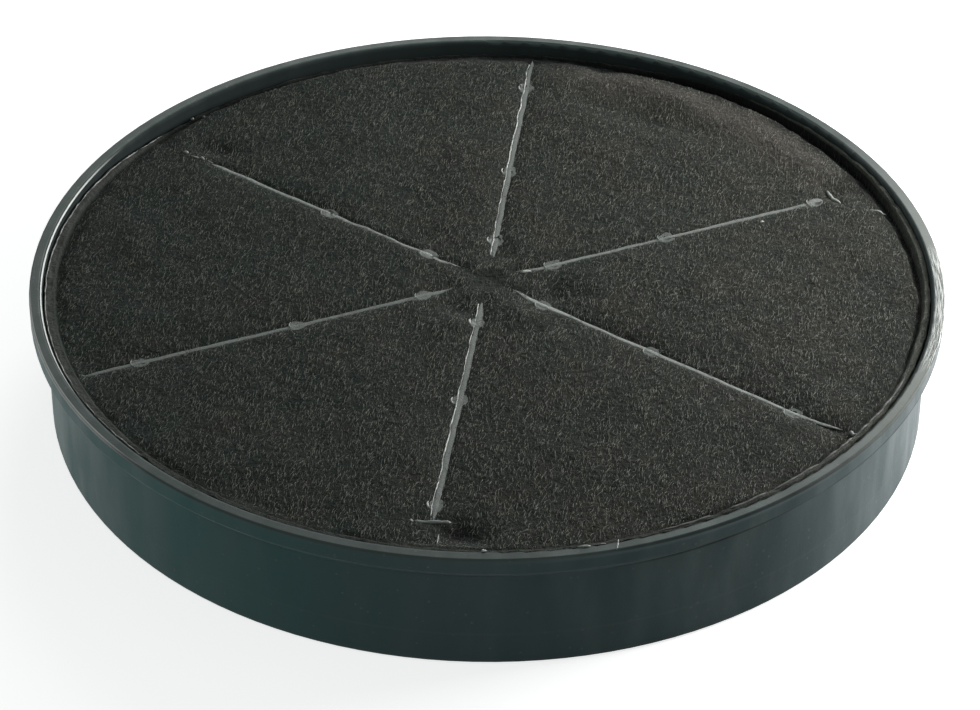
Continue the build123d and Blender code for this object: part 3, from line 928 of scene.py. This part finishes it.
def fibres(name, count, rows, shortest, longest, thick, lift, seed):
    """Loose strands that lie on the fleece, each a thin prism through a few rows of points."""
    chance = np.random.default_rng(seed)
    radius = 101.0 * np.sqrt(chance.uniform(0.002, 1, count))
    angle = chance.uniform(0, 2 * math.pi, count)
    x, y = radius * np.cos(angle), radius * np.sin(angle)
    combed = chance.random(count) < 0.78
    lean = np.where(combed, chance.normal(1.42, 0.28, count), chance.uniform(0, math.pi, count))
    length = chance.uniform(shortest, longest, count)
    bend = chance.normal(0, 0.2, count)
    bearing = np.degrees(np.arctan2(x, y)) % 360
    reach = np.where((bearing > 50) & (bearing < 112), margin_at(x, y)[0] - 0.5, 98.8)
    centres = []
    for step in np.linspace(-0.5, 0.5, rows):
        heading = lean + bend * step
        px, py = x + step * length * np.cos(heading), y + step * length * np.sin(heading)
        limit = np.minimum(1, reach / np.hypot(px, py))
        px, py = px * limit, py * limit
        bed = fleece_height(px, py)
        bed = np.where(np.hypot(px, py) < MARGIN_START_R, np.maximum(bed, CREST_TOP + 0.05), bed)
        height = bed + thick * 0.3 + lift * (1 - (2 * step) ** 2) * chance.uniform(0, 1, count)
        centres.append(np.stack((px, py, height), 1))
    kept = radius < reach
    centres = np.stack(centres, 1)[kept]
    side = np.stack((-np.sin(lean), np.cos(lean), np.zeros(count)), 1)[kept]
    count = len(centres)
    sections = []
    for row in range(rows):
        slim = thick * (0.6 if row in (0, rows - 1) and rows > 2 else 1.0) / 2
        middle = centres[:, row]
        sections.append(np.stack((middle - side * slim, middle + np.array((0, 0, slim)), middle + side * slim), 1))
    points = np.stack(sections, 1).reshape(-1, 3)
    sides = [(s, 3 + s, 3 + (s + 1) % 3, (s + 1) % 3) for s in range(3)]
    pattern = np.concatenate([np.array(sides) + 3 * row for row in range(rows - 1)])
    last = 3 * rows - 1
    caps = np.array(((0, 1, 2), (last, last - 1, last - 2)))
    starts = 3 * rows * np.arange(count)[:, None, None]
    quads = (pattern[None] + starts).reshape(-1, 4)
    ends = (caps[None] + starts).reshape(-1, 3)
    return mesh_piece(name, points, quads.tolist() + ends.tolist(), [FIBRE])


def lower_fleece(number):
    """One compartment's fleece, pressed down a little into the grille's openings by the carbon."""
    low, high = HUB_R + 0.4, BORE_R - 0.4
    radii = np.linspace(low, high, 84)
    start = math.radians(DIVIDER_ANGLE + 60 * (number - 1))
    share = np.linspace(0, 1, 58)
    rows_low, rows_high = [], []
    for radius in radii:
        inset = 1.2 / radius
        angle = start + inset + share * (math.pi / 3 - 2 * inset)
        x, y = radius * np.cos(angle), radius * np.sin(angle)
        spokes = WIDE_SPOKES if radius < POST_RINGS[1] else CLOSE_SPOKES
        off = np.radians((np.degrees(angle) - DIVIDER_ANGLE) % spokes)
        off = np.minimum(off, math.radians(spokes) - off) * radius
        bar = min(abs(radius - ring) for ring in (HUB_R, *RING_BARS, BORE_R))
        full_sag = BAR_WIDTH / 2 + 2.5
        room = ease(off, BAR_WIDTH / 2, full_sag) * ease(np.full(off.shape, bar), BAR_WIDTH / 2, full_sag)
        hang = room * (0.75 + 0.25 * soft_noise(x, y, 3.0, 30 + number))
        rows_low.append(np.stack((x, y, GRILLE_TOP + 0.03 - hang), 1))
        rows_high.append(np.stack((x, y, np.full(x.shape, PAD_TOP - 0.05)), 1))
    across, down = len(share), len(radii)
    points = np.concatenate(rows_low + rows_high)
    lift = across * down
    faces = []
    for row in range(down - 1):
        for column in range(across - 1):
            corner = row * across + column
            quad = (corner, corner + 1, corner + across + 1, corner + across)
            faces.append(quad)
            faces.append(tuple(lift + k for k in reversed(quad)))
    border = list(range(across))
    border += [row * across + across - 1 for row in range(1, down)]
    border += [(down - 1) * across + column for column in range(across - 2, -1, -1)]
    border += [row * across for row in range(down - 2, 0, -1)]
    faces += [(a, lift + a, lift + b, b) for a, b in zip(border, border[1:] + border[:1])]
    piece = mesh_piece(f"lower_fleece_pad_{number}", points, faces, [LOWER_FELT])
    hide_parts(f"lower_fleece_{number}")


def dress(node, material):
    """Gives a solid from the frame its finish."""
    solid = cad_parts[node]
    solid.data.materials.clear()
    solid.data.materials.append(material)


dress("housing", HOUSING)
for number in range(1, 7):
    dress(f"carbon_charge_{number}", CARBON)
    lower_fleece(number)
upper_fleece()
for turn, (letter, weld) in enumerate(WELDS.items()):
    weld_seam(letter, weld, 100 + 40 * turn)
drops = [plastic_drop(*drop, 500 + number) for number, drop in enumerate(DROPS)]
drop_finishes = [WELD_FLASH_GLINT] * GLINTING_DROPS + [WELD_PALE] * (len(DROPS) - GLINTING_DROPS)
joined_piece("weld_drops", list(zip(drop_finishes, drops)))
burrs = [plastic_drop(*mark, 530 + number, RIM_TOP - 0.12) for number, mark in enumerate(RIM_MARKS)]
burr_finishes = [WELD_PALE] + [WELD_FLASH_GLINT] * (len(RIM_MARKS) - 1)
joined_piece("rim_burrs", list(zip(burr_finishes, burrs)))

# Cut edge: bearings, inset, thickness, finish and seed
fused_edge("fused_edge_right", 111, 160, 0.75, 0.26, FUSED_SOFT, 401)
fused_edge("fused_edge_left", 226, 308, 0.30, 0.13, FUSED_HARD, 402)
# Fibres: how many, rows of points, shortest, longest, thickness, lift and seed
fibres("fleece_fibres_short", 24500, 2, 0.5, 1.5, 0.085, 0.08, 21)
fibres("fleece_fibres_middle", 13500, 3, 0.9, 2.3, 0.095, 0.14, 22)
fibres("fleece_fibres_long", 5000, 4, 1.6, 3.6, 0.085, 0.28, 23)


# Studio


def plain_floor():
    """A pale floor that stays white to the camera and keeps the filter's shadow."""
    material = bpy.data.materials.new("studio_floor")
    material.use_nodes = True
    tree = material.node_tree
    tree.nodes.clear()
    path = wire(tree, "ShaderNodeLightPath")
    mirrored = largest(tree, path.outputs["Is Glossy Ray"], path.outputs["Is Transmission Ray"])
    seen = sums(tree, "ADD", times(tree, path.outputs["Is Camera Ray"], 0.76), times(tree, mirrored, 0.50))
    matt = wire(tree, "ShaderNodeBsdfDiffuse", {"Color": (0.78, 0.78, 0.78, 1)})
    glow = wire(tree, "ShaderNodeEmission", {"Color": (1, 1, 1, 1), "Strength": seen})
    lit = wire(tree, "ShaderNodeAddShader", {0: matt.outputs[0], 1: glow.outputs[0]})
    clear = wire(tree, "ShaderNodeBsdfTransparent")
    under = wire(tree, "ShaderNodeNewGeometry").outputs["Backfacing"]
    both = wire(tree, "ShaderNodeMixShader", {0: under, 1: lit.outputs[0], 2: clear.outputs[0]})
    wire(tree, "ShaderNodeOutputMaterial", {"Surface": both.outputs[0]})
    mesh = bpy.data.meshes.new("studio_floor")
    mesh.from_pydata([(-4, -4, 0), (4, -4, 0), (4, 4, 0), (-4, 4, 0)], [], [(0, 1, 2, 3)])
    mesh.materials.append(material)
    floor = bpy.data.objects.new("studio_floor", mesh)
    floor.location.z = -0.0002
    bpy.context.scene.collection.objects.link(floor)


def white_surround():
    """Soft light from all round, and white behind the filter."""
    world = bpy.data.worlds.new("studio_surround")
    world.use_nodes = True
    tree = world.node_tree
    path = wire(tree, "ShaderNodeLightPath")
    seen = largest(tree, *(path.outputs[f"Is {ray} Ray"] for ray in ("Camera", "Glossy", "Transmission")))
    strength = fade(tree, seen, 0.0, 1.0, 0.20, 1.0)
    background = tree.nodes["Background"]
    background.inputs["Color"].default_value = (0.92, 1.0, 0.99, 1)
    tree.links.new(strength, background.inputs["Strength"])
    bpy.context.scene.world = world


def soft_lamp(name, place, width, depth, power):
    """A studio softbox that looks at the filter's middle."""
    lamp = bpy.data.lights.new(name, "AREA")
    lamp.shape = "RECTANGLE"
    lamp.size, lamp.size_y = width, depth
    lamp.energy = power
    box = bpy.data.objects.new(name, lamp)
    box.location = place
    box.rotation_euler = (Vector((0, 0, 0.02)) - Vector(place)).to_track_quat("-Z", "Y").to_euler()
    bpy.context.scene.collection.objects.link(box)


def camera_at_the_photograph():
    """Looks down at 36 degrees through a long lens, turned very slightly."""
    tilt, turn = 0.62829, 0.0071
    back = Vector((0, -math.cos(tilt), math.sin(tilt)))
    rise = Vector((0, math.sin(tilt), math.cos(tilt)))
    right = Vector((1, 0, 0)) * math.cos(turn) + rise * math.sin(turn)
    up = rise * math.cos(turn) - Vector((1, 0, 0)) * math.sin(turn)
    lens = bpy.data.cameras.new("camera")
    lens.lens = 131.4
    lens.sensor_width = 36.0
    lens.clip_start, lens.clip_end = 0.05, 20.0
    camera = bpy.data.objects.new("camera", lens)
    spot = Vector((0.000764, -0.033051, 0.0313)) + back * 0.79725
    camera.matrix_world = Matrix.Translation(spot) @ Matrix((right, up, back)).transposed().to_4x4()
    bpy.context.scene.collection.objects.link(camera)
    bpy.context.scene.camera = camera


plain_floor()
white_surround()
soft_lamp("lamp_right", (0.28, 0.09, 0.125), width=0.26, depth=0.11, power=1.75)
soft_lamp("lamp_back", (0.05, 0.62, 0.48), width=0.30, depth=0.30, power=1.3)
camera_at_the_photograph()
bpy.context.scene.view_settings.view_transform = "Standard"
